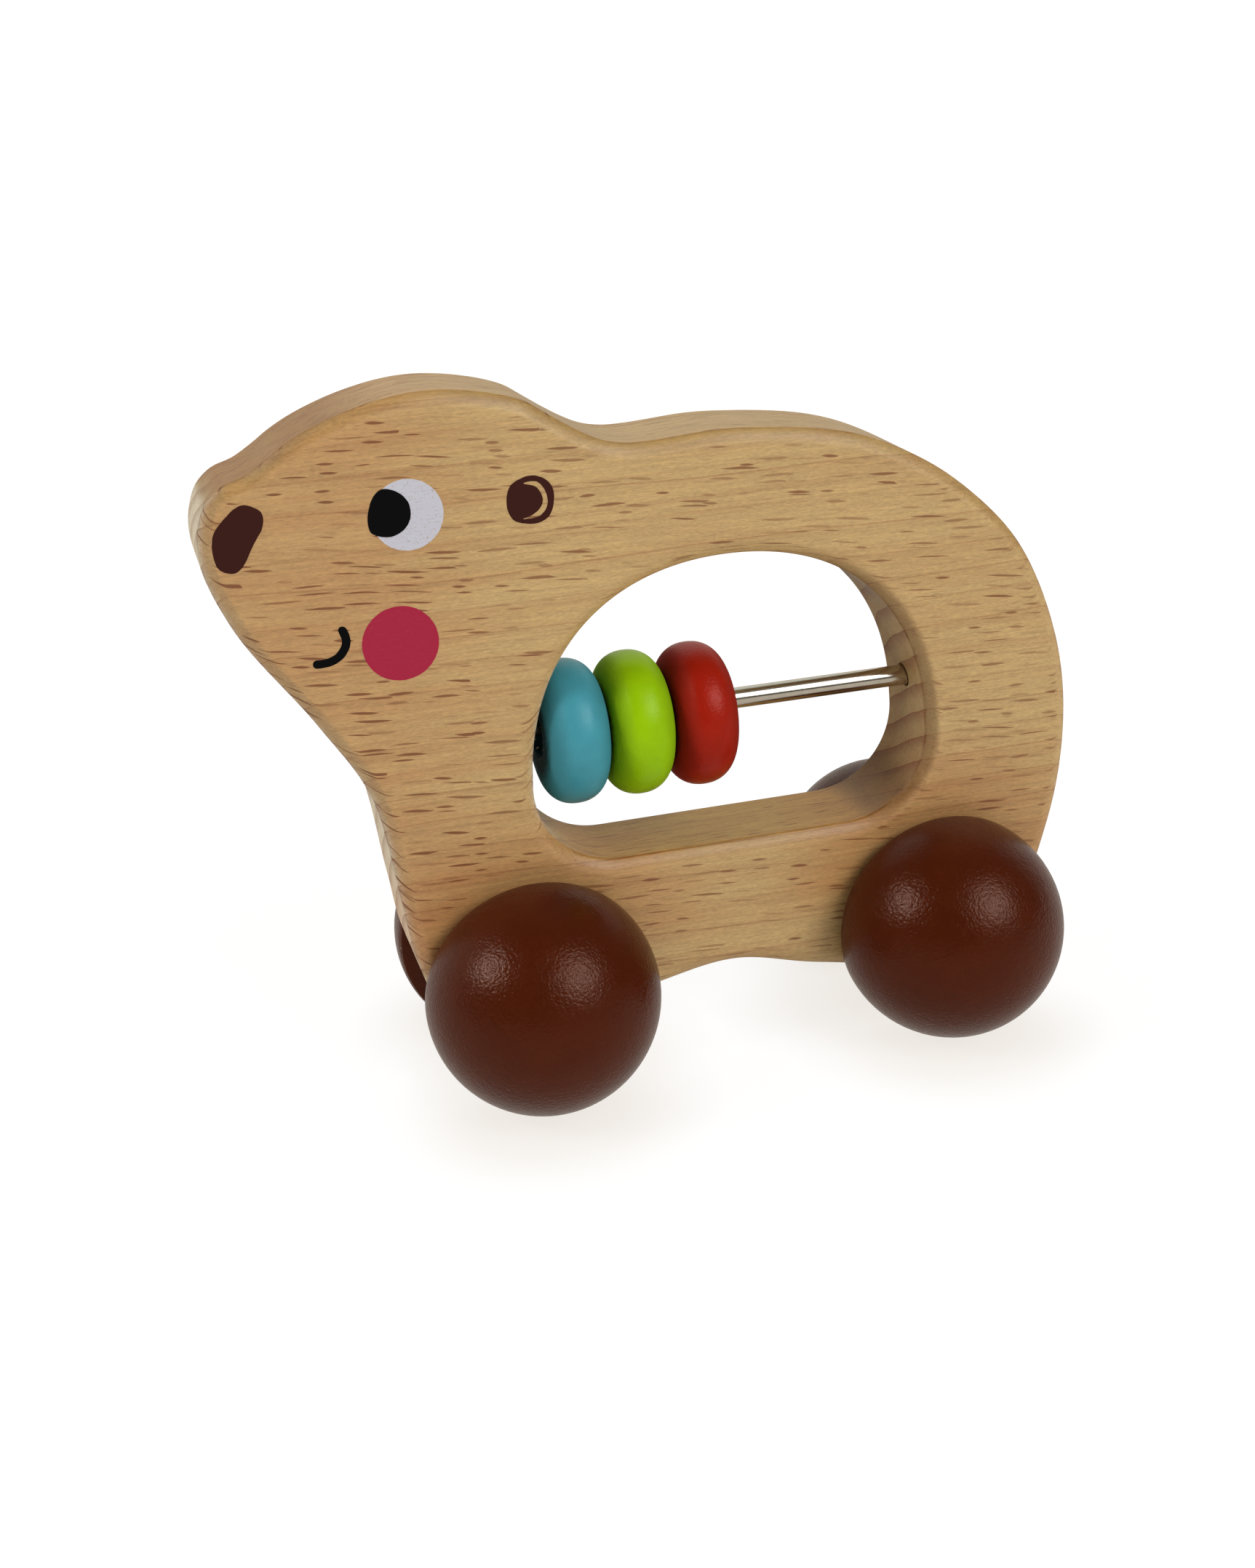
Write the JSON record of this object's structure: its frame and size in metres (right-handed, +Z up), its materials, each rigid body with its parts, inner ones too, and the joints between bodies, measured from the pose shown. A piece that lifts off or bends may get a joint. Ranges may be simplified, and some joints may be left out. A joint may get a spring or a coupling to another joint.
{
  "type": "wooden push-along animal toy",
  "caption": "Beech bear-shaped slab on wooden ball wheels, with a grip window and loose painted beads sliding on a steel rod across it.",
  "frame": {"origin": "on the floor, under the middle of the toy's length and width", "axes": "+Z up, the snout points to -X, +Y along the axles to the bear's right side"},
  "size_m": [0.1294, 0.0606, 0.1078],
  "materials": {
    "beech": "sanded, thin clear oil",
    "brown_wheel": "satin brown lacquer",
    "steel": "bright nickel-plated rod",
    "blue_bead": "satin blue lacquer",
    "green_bead": "satin lime lacquer",
    "red_bead": "satin red lacquer"
  },
  "bodies": {
    "bear": {"body": "beech", "bead_rod": "steel", "rod_plug": "beech"},
    "front_wheelset": {"front_axle": "beech", "front_left_wheel": "brown_wheel", "front_right_wheel": "brown_wheel"},
    "rear_wheelset": {"rear_axle": "beech", "rear_left_wheel": "brown_wheel", "rear_right_wheel": "brown_wheel"},
    "blue_bead": {"blue_bead": "blue_bead"},
    "green_bead": {"green_bead": "green_bead"},
    "red_bead": {"red_bead": "red_bead"}
  },
  "joints": [
    {"name": "front_wheels_turn", "type": "hinge", "parent": "bear", "child": "front_wheelset", "pos_m": [-0.02275, 0, 0.0175], "axis": [0, 1, 0], "continuous": true},
    {"name": "rear_wheels_turn", "type": "hinge", "parent": "bear", "child": "rear_wheelset", "pos_m": [0.04285, 0, 0.0175], "axis": [0, 1, 0], "continuous": true},
    {"name": "blue_bead_slide", "type": "slide", "parent": "bear", "child": "blue_bead", "axis": [1, 0, 0], "range_m": [0, 0.0091]},
    {"name": "green_bead_slide", "type": "slide", "parent": "blue_bead", "child": "green_bead", "axis": [1, 0, 0], "range_m": [0, 0.0091]},
    {"name": "red_bead_slide", "type": "slide", "parent": "green_bead", "child": "red_bead", "axis": [1, 0, 0], "range_m": [0, 0.0091]}
  ]
}
